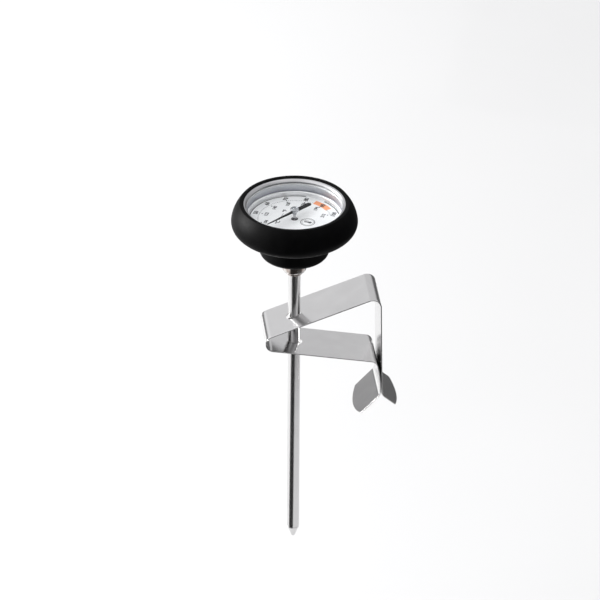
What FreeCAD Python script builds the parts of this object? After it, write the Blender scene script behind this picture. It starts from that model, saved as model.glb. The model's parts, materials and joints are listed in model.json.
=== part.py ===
import FreeCAD, Part
import math
import os
import Sketcher

# Dial thermometer with a sprung pot clip. Millimetres, +Z up along the stem, +X from the stem to the
# clip's jaw. The origin is the middle of the jaw line, where the clip's two legs pinch a pot wall.
# Round pieces are drawn in a frame of their own: its axis is the stem's, and its zero height is the
# plane of the head's front rim, so a negative height is a depth below that rim.

SIZES = {
    # where the stem and the head's rim stand from the jaw line
    "stem_offset": -30.8,
    "rim_height": 73.4,
    # rubber boot round the head
    "window_radius": 18.05,
    "boot_lip_height": 0.2,
    "boot_crest_height": 0.4,
    "boot_crest_inner": 18.9,
    "boot_crest_outer": 19.5,
    "boot_belly_radius": 22.5,
    "boot_belly_depth": 6.45,
    "boot_flank_curve": 13.0,
    "boot_under_radius": 19.8,
    "boot_under_depth": 10.6,
    "boot_belly_curve": 4.0,
    "boss_radius": 12.45,
    "boss_top_depth": 12.4,
    "boss_depth": 20.5,
    "boss_round": 2.1,
    "boss_hollow_radius": 9.5,
    "boss_hollow_depth": 17.5,
    "play": 0.05,
    # deep-drawn case, bezel and glazing
    "bezel_inner": 17.0,
    "bezel_inner_depth": 0.75,
    "bezel_slope_radius": 17.55,
    "bezel_slope_depth": 0.2,
    "bezel_crown": 18.1,
    "bezel_shoulder": 18.3,
    "bezel_outer": 19.05,
    "bezel_under_depth": 0.83,
    "bezel_shoulder_drop": 0.3,
    "bezel_skirt_depth": 3.0,
    "case_outer": 18.6,
    "case_inner": 18.1,
    "case_lower_outer": 17.8,
    "case_lower_inner": 17.3,
    "case_step_depth": 7.15,
    "case_ledge_depth": 6.65,
    "case_floor_top": 8.4,
    "case_floor_depth": 8.9,
    "case_hole_radius": 3.0,
    "lens_radius": 18.0,
    "lens_top": 0.85,
    "lens_bottom": 1.55,
    "gasket_inner": 17.1,
    "gasket_top": 1.57,
    "gasket_bottom": 1.9,
    "sleeve_inner": 16.9,
    "sleeve_top": 1.92,
    "sleeve_bottom": 4.42,
    "clamp_inner": 16.4,
    "clamp_top": 4.44,
    "clamp_bottom": 6.08,
    "dial_radius": 18.0,
    "dial_top": 6.1,
    "dial_bottom": 6.6,
    "dial_hole_radius": 0.95,
    # pointer and its shaft
    "needle_length": 13.4,
    "needle_root": 0.62,
    "needle_tip": 0.14,
    "tail_length": 7.9,
    "tail_width": 0.95,
    "tail_curve": 1.05,
    "tail_bulge": 0.6,
    "pointer_top": 2.8,
    "pointer_bottom": 3.1,
    "pointer_hole": 0.72,
    "pointer_angle": 217.9,
    "hub_radius": 1.55,
    "hub_neck_radius": 0.7,
    "hub_top": 1.8,
    "hub_shoulder": 2.78,
    "hub_bottom": 4.2,
    "hub_round": 0.35,
    "shaft_radius": 0.5,
    "shaft_top": 2.3,
    "shaft_bottom": 68.0,
    "bush_bore": 0.55,
    # stem
    "stem_radius": 2.24,
    "stem_bore": 1.94,
    "stem_top": 8.3,
    "stem_bottom": 137.1,
    "tip_end": 141.6,
    "tip_end_radius": 0.55,
    "tip_round": 0.45,
    "tip_plug_top": 134.1,
    "tip_plug_radius": 1.92,
    "collar_spigot_radius": 2.95,
    "collar_spigot_top": 8.42,
    "collar_flange_radius": 6.0,
    "collar_flange_top": 8.92,
    "collar_flange_bottom": 10.4,
    "collar_radius": 4.3,
    "collar_bottom": 27.2,
    "collar_bore": 2.26,
    "collar_round": 0.8,
    "ring_radius": 2.9,
    "ring_top": 27.22,
    "ring_bottom": 28.4,
    "ring_round": 0.25,
    "upper_bush_flange": 2.8,
    "upper_bush_top": 7.3,
    "upper_bush_shoulder": 8.28,
    "upper_bush_bottom": 12.0,
    "lower_bush_top": 60.0,
    "lower_bush_bottom": 63.0,
    "coil_collar_radius": 1.5,
    "coil_collar_top": 66.0,
    "coil_collar_bottom": 69.9,
    "coil_radius": 1.35,
    "coil_strip": 0.22,
    "coil_strip_width": 2.4,
    "coil_pitch": 3.0,
    "coil_length": 57.6,
    "coil_bottom": 130.0,
    "anchor_bottom": 134.0,
    # spring clip, one bent strip
    "strip_half_width": 9.35,
    "strip_half_thickness": 0.2,
    "seam_half": 0.03,
    "fold_offset": -7.9,
    "fold_depth": 52.3,
    "fold_radius": 3.1,
    "upper_arm_angle": 20.3,
    "top_bend_radius": 3.1,
    "leg_angle": -88.8,
    "long_leg_depth": 75.0,
    "lower_arm_angle": -10.4,
    "lower_bend_radius": 2.8,
    "short_leg_top_angle": -78.0,
    "short_leg_top_run": 0.6,
    "short_leg_curve": 42.0,
    "short_leg_depth": 74.8,
    "jaw_gap_half": 0.06,
    "tab_bend_radius": 3.0,
    "right_tab_angle": -41.0,
    "right_tab_length": 5.2,
    "right_tab_curve": 24.0,
    "left_tab_angle": -133.0,
    "left_tab_length": 9.0,
    "left_tab_curve": 17.3,
    "tab_spare": 3.5,
    "hole_radius": 2.45,
    "hole_half_run": 0.2,
    "upper_hole_shift": -0.2,
    "lower_hole_shift": 0.3,
}

# two places nearer than this are the same one
SAME_PLACE = 0.01


def number(text):
    """The value of a sum of sizes, written as signed names with spaces between, or a plain number."""
    total = 0.0
    for term in text.split():
        name = term.lstrip("+-")
        size = SIZES[name] if name in SIZES else float(name)
        total += -size if term.startswith("-") else size
    return total


def bound(text):
    """The same sum as an expression on the cells of the sheet."""
    terms = []
    for term in text.split():
        sign = "-" if term.startswith("-") else "+"
        name = term.lstrip("+-")
        terms.append(sign + ("Sizes." + name if name in SIZES else name))
    return " ".join(terms)


def make_sheet(doc):
    """The driving dimensions, one aliased cell each."""
    sheet = doc.addObject("Spreadsheet::Sheet", "Sizes")
    for row, (name, size) in enumerate(SIZES.items(), start=1):
        sheet.set("A%d" % row, name)
        sheet.set("B%d" % row, str(size))
        sheet.setAlias("B%d" % row, name)
    doc.recompute()


def make_body(doc, name):
    """An empty body, standing on the stem's axis at the height of the rim."""
    body = doc.addObject("PartDesign::Body", name)
    body.Label = name
    body.setExpression("Placement.Base.x", "Sizes.stem_offset")
    body.setExpression("Placement.Base.z", "Sizes.rim_height")
    return body


def origin_plane(body, role):
    """One of the body's own datum planes."""
    return [plane for plane in body.Origin.OriginFeatures if plane.Role == role][0]


def new_sketch(body, name, role):
    """An empty sketch on one of the body's datum planes."""
    sketch = body.newObject("Sketcher::SketchObject", name)
    sketch.AttachmentSupport = [(origin_plane(body, role), "")]
    sketch.MapMode = "FlatFace"
    return sketch


def drive(sketch, kind, places, text, degrees=False):
    """Add one dimension to a sketch and bind it to the sheet."""
    size = math.radians(number(text)) if degrees else number(text)
    index = sketch.addConstraint(Sketcher.Constraint(kind, *places, size))
    name = "size%d" % index
    sketch.renameConstraint(index, name)
    unit = " * 1 deg" if degrees else " * 1 mm"
    sketch.setExpression("Constraints." + name, "(" + bound(text) + ")" + unit)


def arc_between(start, end, radius, side):
    """The short arc of that radius from start to end. Side +1 puts its centre on the left."""
    chord = end - start
    middle = (start + end) * 0.5
    across = FreeCAD.Vector(-chord.y, chord.x, 0).normalize()
    reach = math.sqrt(radius ** 2 - (chord.Length / 2) ** 2)
    centre = middle + across * (side * reach)
    crown = centre - across * (side * radius)
    return Part.Arc(start, crown, end)


def draw_outline(sketch, corners, arcs=None):
    """A closed outline through the corners, each a pair of sums. Arcs gives, for the edge that leaves
    a corner, its radius and the side of its centre."""
    arcs = arcs or {}
    points = [FreeCAD.Vector(number(x), number(y), 0) for x, y in corners]
    count = len(points)
    for i, start in enumerate(points):
        end = points[(i + 1) % count]
        if i in arcs:
            radius, side = arcs[i]
            sketch.addGeometry(arc_between(start, end, number(radius), side))
        else:
            sketch.addGeometry(Part.LineSegment(start, end))
    for i, start in enumerate(points):
        first = near_end(sketch, i, start)
        drive(sketch, "DistanceX", (-1, 1, i, first), corners[i][0])
        drive(sketch, "DistanceY", (-1, 1, i, first), corners[i][1])
    for i in range(count):
        following = (i + 1) % count
        joint = points[following]
        ends = (i, near_end(sketch, i, joint), following, near_end(sketch, following, joint))
        sketch.addConstraint(Sketcher.Constraint("Coincident", *ends))
        if i in arcs:
            drive(sketch, "Radius", (i,), arcs[i][0])


def near_end(sketch, index, point):
    """Which end of that edge lies at the point: 1 is its start, 2 its end."""
    start = sketch.getPoint(index, 1)
    end = sketch.getPoint(index, 2)
    return 1 if (start - point).Length < (end - point).Length else 2


def turned(doc, name, corners, arcs=None):
    """A piece turned about the stem's axis, from its half outline in radius and height."""
    body = make_body(doc, name)
    profile = new_sketch(body, name + "_profile", "XZ_Plane")
    draw_outline(profile, corners, arcs)
    doc.recompute()
    turn = body.newObject("PartDesign::Revolution", name + "_turn")
    turn.Profile = profile
    turn.ReferenceAxis = (profile, ["V_Axis"])
    turn.Angle = 360
    doc.recompute()
    return body


def ring(doc, name, inner, outer, top, bottom):
    """A plain flat ring."""
    corners = [(outer, top), (outer, bottom), (inner, bottom), (inner, top)]
    return turned(doc, name, corners)


def round_edges(doc, body, radius, places):
    """Round the circular edges of a turned body that lie at the given radii and heights."""
    base = body.Tip
    wanted = [(number(r), number(z)) for r, z in places]
    names = []
    for i, edge in enumerate(base.Shape.Edges, start=1):
        if edge.Curve.TypeId != "Part::GeomCircle":
            continue
        radius_at, height_at = edge.Curve.Radius, edge.Curve.Center.z
        if any(math.hypot(radius_at - r, height_at - z) < SAME_PLACE for r, z in wanted):
            names.append("Edge%d" % i)
    fillet = body.newObject("PartDesign::Fillet", body.Name + "_round")
    fillet.Base = (base, names)
    fillet.setExpression("Radius", bound(radius))
    doc.recompute()


def make_head(doc):
    """Boot, bezel, glazing, case and dial, from the outside in."""
    boot = turned(doc, "rubber_boot", [
        ("window_radius", "play"),
        ("window_radius", "boot_lip_height"),
        ("boot_crest_inner", "boot_crest_height"),
        ("boot_crest_outer", "boot_crest_height"),
        ("boot_belly_radius", "-boot_belly_depth"),
        ("boot_under_radius", "-boot_under_depth"),
        ("boss_radius", "-boss_top_depth"),
        ("boss_radius", "-boss_depth"),
        ("collar_radius play", "-boss_depth"),
        ("collar_radius play", "-boss_hollow_depth"),
        ("boss_hollow_radius", "-boss_hollow_depth"),
        ("boss_hollow_radius", "-case_floor_depth -play"),
        ("case_lower_outer play", "-case_floor_depth -play"),
        ("case_lower_outer play", "-case_step_depth -play"),
        ("case_outer play", "-case_step_depth -play"),
        ("case_outer play", "-bezel_skirt_depth -play"),
        ("bezel_outer play", "-bezel_skirt_depth -play"),
        ("bezel_outer play", "-bezel_shoulder_drop play"),
        ("bezel_shoulder", "play"),
    ], {3: ("boot_flank_curve", -1), 4: ("boot_belly_curve", -1)})
    round_edges(doc, boot, "boss_round", [("boss_radius", "-boss_depth")])

    turned(doc, "bezel_ring", [
        ("bezel_inner", "-bezel_inner_depth"),
        ("bezel_slope_radius", "-bezel_slope_depth"),
        ("bezel_crown", "0"),
        ("bezel_shoulder", "0"),
        ("bezel_outer", "-bezel_shoulder_drop"),
        ("bezel_outer", "-bezel_skirt_depth"),
        ("case_outer play", "-bezel_skirt_depth"),
        ("case_outer play", "-bezel_under_depth"),
        ("bezel_inner", "-bezel_under_depth"),
    ])
    ring(doc, "lens", "0", "lens_radius", "-lens_top", "-lens_bottom")
    ring(doc, "lens_gasket", "gasket_inner", "lens_radius", "-gasket_top", "-gasket_bottom")
    ring(doc, "spacer_sleeve", "sleeve_inner", "lens_radius", "-sleeve_top", "-sleeve_bottom")
    ring(doc, "dial_clamp_ring", "clamp_inner", "lens_radius", "-clamp_top", "-clamp_bottom")
    ring(doc, "dial_plate", "dial_hole_radius", "dial_radius", "-dial_top", "-dial_bottom")
    turned(doc, "case_cup", [
        ("case_outer", "-lens_top"),
        ("case_outer", "-case_step_depth"),
        ("case_lower_outer", "-case_step_depth"),
        ("case_lower_outer", "-case_floor_depth"),
        ("case_hole_radius", "-case_floor_depth"),
        ("case_hole_radius", "-case_floor_top"),
        ("case_lower_inner", "-case_floor_top"),
        ("case_lower_inner", "-case_ledge_depth"),
        ("case_inner", "-case_ledge_depth"),
        ("case_inner", "-lens_top"),
    ])


def make_pointer(doc):
    """The pointer, with its hub, and the long shaft that carries them."""
    body = make_body(doc, "pointer")
    body.setExpression("Placement.Rotation.Axis.z", "1")
    body.setExpression("Placement.Rotation.Angle", bound("pointer_angle") + " * 1 deg")
    outline = new_sketch(body, "pointer_outline", "XY_Plane")
    outline.setExpression("AttachmentOffset.Base.z", bound("-pointer_bottom") + " * 1 mm")
    draw_outline(outline, [
        ("needle_length", "-needle_tip"),
        ("needle_length", "needle_tip"),
        ("hub_radius", "needle_root"),
        ("0", "tail_width"),
        ("-tail_length tail_bulge", "tail_width"),
        ("-tail_length tail_bulge", "-tail_width"),
        ("0", "-tail_width"),
        ("hub_radius", "-needle_root"),
    ], {4: ("tail_curve", 1)})
    doc.recompute()
    plate = body.newObject("PartDesign::Pad", "pointer_plate")
    plate.Profile = outline
    plate.setExpression("Length", bound("-pointer_top pointer_bottom"))
    doc.recompute()
    hole_sketch = new_sketch(body, "pointer_hole_outline", "XY_Plane")
    centre = FreeCAD.Vector(0, 0, 0)
    upwards = FreeCAD.Vector(0, 0, 1)
    hole_sketch.addGeometry(Part.Circle(centre, upwards, number("pointer_hole")))
    hole_sketch.addConstraint(Sketcher.Constraint("Coincident", 0, 3, -1, 1))
    drive(hole_sketch, "Radius", (0,), "pointer_hole")
    doc.recompute()
    cut_through(doc, body, "pointer_hole_cut", hole_sketch)

    hub = turned(doc, "pointer_hub", [
        ("0", "-hub_top"),
        ("hub_radius", "-hub_top"),
        ("hub_radius", "-hub_shoulder"),
        ("hub_neck_radius", "-hub_shoulder"),
        ("hub_neck_radius", "-hub_bottom"),
        ("shaft_radius", "-hub_bottom"),
        ("shaft_radius", "-shaft_top"),
        ("0", "-shaft_top"),
    ])
    round_edges(doc, hub, "hub_round", [("hub_radius", "-hub_top")])
    ring(doc, "pointer_shaft", "0", "shaft_radius", "-shaft_top", "-shaft_bottom")


def make_works(doc):
    """The guides of the shaft and the bimetal coil that turns it."""
    turned(doc, "upper_bush", [
        ("bush_bore", "-upper_bush_top"),
        ("upper_bush_flange", "-upper_bush_top"),
        ("upper_bush_flange", "-upper_bush_shoulder"),
        ("tip_plug_radius", "-upper_bush_shoulder"),
        ("tip_plug_radius", "-upper_bush_bottom"),
        ("bush_bore", "-upper_bush_bottom"),
    ])
    ring(doc, "lower_bush", "bush_bore", "tip_plug_radius", "-lower_bush_top", "-lower_bush_bottom")
    turned(doc, "coil_collar", [
        ("shaft_radius", "-coil_collar_top"),
        ("coil_collar_radius", "-coil_collar_top"),
        ("coil_collar_radius", "-coil_collar_bottom"),
        ("0", "-coil_collar_bottom"),
        ("0", "-shaft_bottom"),
        ("shaft_radius", "-shaft_bottom"),
    ])
    ring(doc, "coil_anchor", "0", "tip_plug_radius", "-coil_bottom", "-anchor_bottom")
    body = make_body(doc, "bimetal_coil")
    section = new_sketch(body, "coil_section", "XZ_Plane")
    draw_outline(section, [
        ("coil_radius", "-coil_bottom"),
        ("coil_radius coil_strip", "-coil_bottom"),
        ("coil_radius coil_strip", "-coil_bottom coil_strip_width"),
        ("coil_radius", "-coil_bottom coil_strip_width"),
    ])
    doc.recompute()
    coil = body.newObject("PartDesign::AdditiveHelix", "coil_winding")
    coil.Profile = section
    coil.ReferenceAxis = (section, ["V_Axis"])
    coil.Mode = "pitch-height-angle"
    coil.setExpression("Pitch", bound("coil_pitch"))
    coil.setExpression("Height", bound("coil_length"))
    doc.recompute()


def make_stem(doc):
    """The stem tube with its pointed plug, and the collar that joins it to the case."""
    ring(doc, "stem_tube", "stem_bore", "stem_radius", "-stem_top", "-stem_bottom")
    tip = turned(doc, "stem_tip", [
        ("0", "-tip_plug_top"),
        ("tip_plug_radius", "-tip_plug_top"),
        ("tip_plug_radius", "-stem_bottom"),
        ("stem_radius", "-stem_bottom"),
        ("tip_end_radius", "-tip_end"),
        ("0", "-tip_end"),
    ])
    round_edges(doc, tip, "tip_round", [("tip_end_radius", "-tip_end")])
    collar = turned(doc, "stem_collar", [
        ("collar_bore", "-collar_spigot_top"),
        ("collar_spigot_radius", "-collar_spigot_top"),
        ("collar_spigot_radius", "-collar_flange_top"),
        ("collar_flange_radius", "-collar_flange_top"),
        ("collar_flange_radius", "-collar_flange_bottom"),
        ("collar_radius", "-collar_flange_bottom"),
        ("collar_radius", "-collar_bottom"),
        ("collar_bore", "-collar_bottom"),
    ])
    round_edges(doc, collar, "collar_round", [("collar_radius", "-collar_bottom")])
    washer = ring(doc, "collar_ring", "collar_bore", "ring_radius", "-ring_top", "-ring_bottom")
    round_edges(doc, washer, "ring_round", [("ring_radius", "-ring_top"), ("ring_radius", "-ring_bottom")])


def heading_vector(degrees):
    """A unit step along a heading in a sketch's plane."""
    turn = math.radians(degrees)
    return FreeCAD.Vector(math.cos(turn), math.sin(turn), 0)


def trace(start, heading, moves):
    """Follow a path from its start. Each move is an arc, with its radius and the heading it ends on, or
    a straight run of some length. Gives the start and end of every move, and each arc's middle."""
    point = start
    steps = []
    for kind, amount, new_heading in moves:
        before = point
        if kind == "run":
            point = before + heading_vector(heading) * amount
            steps.append((before, None, point))
            continue
        side = 1 if new_heading > heading else -1
        centre = before + heading_vector(heading + 90 * side) * amount
        halfway = centre - heading_vector((heading + new_heading) / 2 + 90 * side) * amount
        point = centre - heading_vector(new_heading + 90 * side) * amount
        steps.append((before, halfway, point))
        heading = new_heading
    return steps


def stretch(start, heading, moves, target, last):
    """Lengthen the two runs that have no length yet, so that the run at place last ends at the target."""
    loose = [i for i, move in enumerate(moves) if move[0] == "run" and move[1] is None]
    headings = [move[2] for move in moves]
    first_way, last_way = [heading_vector(headings[i - 1]) for i in loose]
    fixed = [(kind, 0.0 if i in loose else amount, way) for i, (kind, amount, way) in enumerate(moves)]
    short = target - trace(start, heading, fixed)[last][2]
    spread = first_way.x * last_way.y - first_way.y * last_way.x
    lengths = [
        (short.x * last_way.y - short.y * last_way.x) / spread,
        (first_way.x * short.y - first_way.y * short.x) / spread,
    ]
    for i, length in zip(loose, lengths):
        fixed[i] = ("run", length, headings[i])
    return fixed


def draw_strip_path(sketch, start, heading, moves, jaw, last):
    """The middle line of one half of the clip. Moves name their sizes: ("arc", radius, end heading) or
    ("run", length or None, None). The run at place last ends at the jaw point, which sets the length
    of the two runs that have none of their own."""
    plain = []
    way = heading
    for kind, amount, end_way in moves:
        way = number(end_way) if kind == "arc" else way
        plain.append((kind, None if amount is None else number(amount), way))
    origin = FreeCAD.Vector(number(start[0]), number(start[1]), 0)
    target = FreeCAD.Vector(number(jaw[0]), number(jaw[1]), 0)
    steps = trace(origin, heading, stretch(origin, heading, plain, target, last))
    for begin, halfway, end in steps:
        edge = Part.LineSegment(begin, end) if halfway is None else Part.Arc(begin, halfway, end)
        sketch.addGeometry(edge)

    first = near_end(sketch, 0, origin)
    drive(sketch, "DistanceX", (-1, 1, 0, first), start[0])
    drive(sketch, "DistanceY", (-1, 1, 0, first), start[1])
    sketch.addConstraint(Sketcher.Constraint("Horizontal", 0, first, 0, 3))
    for i, (kind, amount, end_way) in enumerate(moves):
        if i > 0:
            begin = steps[i][0]
            ends = (i - 1, near_end(sketch, i - 1, begin), i, near_end(sketch, i, begin))
            sketch.addConstraint(Sketcher.Constraint("Tangent", *ends))
        if kind == "arc":
            drive(sketch, "Radius", (i,), amount)
            after = moves[i + 1][0]
            if after == "run":
                drive(sketch, "Angle", (i + 1,), end_way, degrees=True)
        elif amount is not None:
            drive(sketch, "Distance", (i,), amount)
    drive(sketch, "DistanceX", (-1, 1, last, 2), jaw[0])
    drive(sketch, "DistanceY", (-1, 1, last, 2), jaw[1])
    tab = len(moves) - 1
    for kind, name in (("DistanceX", "tab_x"), ("DistanceY", "tab_z")):
        index = sketch.addConstraint(Sketcher.Constraint(kind, -1, 1, tab, 1, 0.0))
        sketch.setDriving(index, False)
        sketch.renameConstraint(index, name)


def cut_through(doc, body, name, outline):
    """Cut an outline through the whole body, both ways."""
    cut = body.newObject("PartDesign::Pocket", name)
    cut.Profile = outline
    cut.Type = "ThroughAll"
    cut.Midplane = True
    doc.recompute()


def draw_slot(sketch, radius, half_run, shift):
    """A round-ended slot along X, its middle a little to one side of the origin."""
    bow = number(radius)
    run = number(half_run)
    middle = FreeCAD.Vector(number(shift), 0, 0)
    for side in (1, -1):
        ends = [middle + FreeCAD.Vector(side * run, bow * way, 0) for way in (-side, side)]
        crown = middle + FreeCAD.Vector(side * (run + bow), 0, 0)
        sketch.addGeometry(Part.Arc(ends[0], crown, ends[1]))
    for side in (1, -1):
        corner = middle + FreeCAD.Vector(side * run, side * bow, 0)
        sketch.addGeometry(Part.LineSegment(corner, corner - FreeCAD.Vector(2 * side * run, 0, 0)))
    for first, second in ((0, 2), (2, 1), (1, 3), (3, 0)):
        sketch.addConstraint(Sketcher.Constraint("Tangent", first, 2, second, 1))
    drive(sketch, "Radius", (0,), radius)
    for arc, run_size in ((0, half_run), (1, "-" + half_run)):
        drive(sketch, "DistanceX", (-1, 1, arc, 3), shift + " " + run_size)
    for arc in (0, 1):
        sketch.addConstraint(Sketcher.Constraint("PointOnObject", arc, 3, -1))


def make_strip(doc, name, seam, heading, moves, jaw, last, hole_shift, tab):
    """One half of the clip: a flat strip swept from the fold, a slot for the stem, and a tab with a
    curved end."""
    body = make_body(doc, name)
    height = "-fold_depth " + seam
    start = ("fold_offset -fold_radius", height)
    path = new_sketch(body, name + "_path", "XZ_Plane")
    draw_strip_path(path, start, heading, moves, jaw, last)
    section = new_sketch(body, name + "_section", "XY_Plane")
    section.setExpression("AttachmentOffset.Base.z", "(" + bound(height) + ") * 1 mm")
    near, far = [start[0] + way + "strip_half_thickness" for way in (" -", " ")]
    draw_outline(section, [
        (near, "-strip_half_width"),
        (far, "-strip_half_width"),
        (far, "strip_half_width"),
        (near, "strip_half_width"),
    ])
    doc.recompute()
    strip = body.newObject("PartDesign::AdditivePipe", name + "_strip")
    strip.Profile = section
    strip.Spine = (path, ["Edge%d" % (i + 1) for i in range(len(moves))])
    doc.recompute()

    slot = new_sketch(body, name + "_slot_outline", "XY_Plane")
    draw_slot(slot, "hole_radius", "hole_half_run", hole_shift)
    doc.recompute()
    cut_through(doc, body, name + "_slot", slot)

    angle, length, curve = tab
    trim = new_sketch(body, name + "_tab_outline", "YZ_Plane")
    trim.setExpression("AttachmentOffset.Base.y", path.Name + ".Constraints.tab_z")
    trim.setExpression("AttachmentOffset.Base.z", path.Name + ".Constraints.tab_x")
    trim.setExpression("AttachmentOffset.Rotation.Axis.x", "1")
    trim.setExpression("AttachmentOffset.Rotation.Axis.z", "0")
    trim.setExpression("AttachmentOffset.Rotation.Angle", "(-90 " + bound("-" + angle) + ") * 1 deg")
    end = "-" + length
    beyond = end + " -tab_spare -tab_spare"
    draw_outline(trim, [
        ("-strip_half_width", end),
        ("strip_half_width", end),
        ("strip_half_width tab_spare", end),
        ("strip_half_width tab_spare", beyond),
        ("-strip_half_width -tab_spare", beyond),
        ("-strip_half_width -tab_spare", end),
    ], {0: (curve, 1)})
    doc.recompute()
    rounding = body.newObject("PartDesign::Pocket", name + "_tab_end")
    rounding.Profile = trim
    rounding.Midplane = True
    rounding.setExpression("Length", "Sizes.tab_spare")
    doc.recompute()


def make_clip(doc):
    """The sprung clip, bent from one strip. It is in two halves that meet at the fold's middle."""
    make_strip(doc, "clip_upper", "seam_half", 90, [
        ("arc", "fold_radius", "upper_arm_angle"),
        ("run", None, None),
        ("arc", "top_bend_radius", "leg_angle"),
        ("run", None, None),
        ("arc", "tab_bend_radius", "right_tab_angle"),
        ("run", "right_tab_length tab_spare", None),
    ], ("-stem_offset jaw_gap_half strip_half_thickness", "-long_leg_depth"), 3, "upper_hole_shift",
        ("right_tab_angle", "right_tab_length", "right_tab_curve"))
    make_strip(doc, "clip_lower", "-seam_half", -90, [
        ("arc", "fold_radius", "lower_arm_angle"),
        ("run", None, None),
        ("arc", "lower_bend_radius", "short_leg_top_angle"),
        ("run", "short_leg_top_run", None),
        ("arc", "short_leg_curve", "leg_angle"),
        ("run", None, None),
        ("arc", "tab_bend_radius", "left_tab_angle"),
        ("run", "left_tab_length tab_spare", None),
    ], ("-stem_offset -jaw_gap_half -strip_half_thickness", "-short_leg_depth"), 5, "lower_hole_shift",
        ("left_tab_angle", "left_tab_length", "left_tab_curve"))


def check(doc):
    """Stop if any object failed, and give the sub-parts."""
    for thing in doc.Objects:
        if "Invalid" in thing.State or "Error" in thing.State:
            raise RuntimeError("%s failed: %s" % (thing.Name, thing.State))
    subparts = [thing for thing in doc.Objects if thing.TypeId == "PartDesign::Body"]
    for subpart in subparts:
        shape = subpart.Shape
        if shape.isNull() or not shape.isValid() or len(shape.Solids) != 1:
            raise RuntimeError("%s has no sound solid" % subpart.Label)
    return subparts


def main():
    doc = FreeCAD.newDocument("DialThermometer")
    make_sheet(doc)
    make_head(doc)
    make_pointer(doc)
    make_works(doc)
    make_stem(doc)
    make_clip(doc)
    doc.recompute()
    subparts = check(doc)
    os.makedirs("parts", exist_ok=True)
    for subpart in subparts:
        subpart.Shape.exportStep("parts/%s.step" % subpart.Label)
    print(len(subparts), "sub-parts written")


main()
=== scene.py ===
import json
import math

import bmesh
import bpy
from mathutils import Matrix, Quaternion, Vector


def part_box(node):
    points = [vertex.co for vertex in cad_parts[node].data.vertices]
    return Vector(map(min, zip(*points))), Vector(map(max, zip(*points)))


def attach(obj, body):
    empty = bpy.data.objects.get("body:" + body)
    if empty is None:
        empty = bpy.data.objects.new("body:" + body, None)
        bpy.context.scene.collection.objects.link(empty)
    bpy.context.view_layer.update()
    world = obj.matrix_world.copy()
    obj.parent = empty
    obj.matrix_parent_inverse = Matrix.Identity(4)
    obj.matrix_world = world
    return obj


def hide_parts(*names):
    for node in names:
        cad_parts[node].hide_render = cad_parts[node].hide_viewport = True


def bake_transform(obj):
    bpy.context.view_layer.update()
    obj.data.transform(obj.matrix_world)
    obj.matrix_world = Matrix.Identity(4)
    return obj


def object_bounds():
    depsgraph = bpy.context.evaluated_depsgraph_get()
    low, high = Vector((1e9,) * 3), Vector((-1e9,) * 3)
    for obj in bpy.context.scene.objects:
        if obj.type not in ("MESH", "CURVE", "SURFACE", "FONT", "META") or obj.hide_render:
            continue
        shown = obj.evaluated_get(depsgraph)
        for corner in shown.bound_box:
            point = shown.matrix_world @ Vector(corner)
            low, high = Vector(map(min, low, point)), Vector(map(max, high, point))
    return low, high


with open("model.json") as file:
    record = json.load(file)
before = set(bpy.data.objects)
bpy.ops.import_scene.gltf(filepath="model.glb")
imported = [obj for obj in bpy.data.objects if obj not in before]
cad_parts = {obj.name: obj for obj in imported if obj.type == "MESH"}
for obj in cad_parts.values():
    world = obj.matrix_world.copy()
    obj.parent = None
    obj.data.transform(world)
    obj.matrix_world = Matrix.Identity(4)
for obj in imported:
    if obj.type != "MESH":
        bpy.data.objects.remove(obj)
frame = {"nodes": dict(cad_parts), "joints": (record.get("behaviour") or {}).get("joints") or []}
cad_low, cad_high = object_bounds()

# Shapes are written in millimetres and scaled to metres. Turned pieces share one frame: the stem's axis,
# with heights counted from the plane of the head's rim, so a depth below the rim is negative.
MM = 0.001
STEM_LOW, STEM_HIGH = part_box("stem_tube")
AXIS_X = (STEM_LOW.x + STEM_HIGH.x) / 2
AXIS_Y = (STEM_LOW.y + STEM_HIGH.y) / 2
RIM_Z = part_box("bezel_ring")[1].z
TURNS = 160
SHARP = math.radians(34)


# ---------------------------------------------------------------- mesh helpers

def finish_piece(bm, name, material, body, nodes=(), weighted=True):
    """Turn a bmesh into a piece: closed, smooth where it is rounded, riding on its body. A tuple in place of
    the body is not used: that piece stays fixed where it was built.
    """
    bmesh.ops.recalc_face_normals(bm, faces=bm.faces[:])
    for face in bm.faces:
        face.smooth = True
    for edge in bm.edges:
        edge.smooth = len(edge.link_faces) == 2 and edge.calc_face_angle(0) < SHARP
    mesh = bpy.data.meshes.new(name)
    bm.to_mesh(mesh)
    bm.free()
    mesh.materials.append(material)
    obj = bpy.data.objects.new(name, mesh)
    bpy.context.scene.collection.objects.link(obj)
    if weighted:
        modifier = obj.modifiers.new("even_shading", "WEIGHTED_NORMAL")
        modifier.keep_sharp = True
    if isinstance(body, tuple):
        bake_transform(obj)
    else:
        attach(obj, body)
    if nodes:
        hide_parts(*nodes)
    return obj


def arc_points(start, end, radius, side, count):
    """Points of the short arc between two profile points, without its ends."""
    (x0, y0), (x1, y1) = start, end
    chord = math.hypot(x1 - x0, y1 - y0)
    reach = math.sqrt(radius ** 2 - (chord / 2) ** 2) * side
    cx = (x0 + x1) / 2 - (y1 - y0) / chord * reach
    cy = (y0 + y1) / 2 + (x1 - x0) / chord * reach
    first = math.atan2(y0 - cy, x0 - cx)
    turn = (math.atan2(y1 - cy, x1 - cx) - first + math.pi) % (2 * math.pi) - math.pi
    angles = [first + turn * i / count for i in range(1, count)]
    return [(cx + radius * math.cos(a), cy + radius * math.sin(a)) for a in angles]


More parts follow.
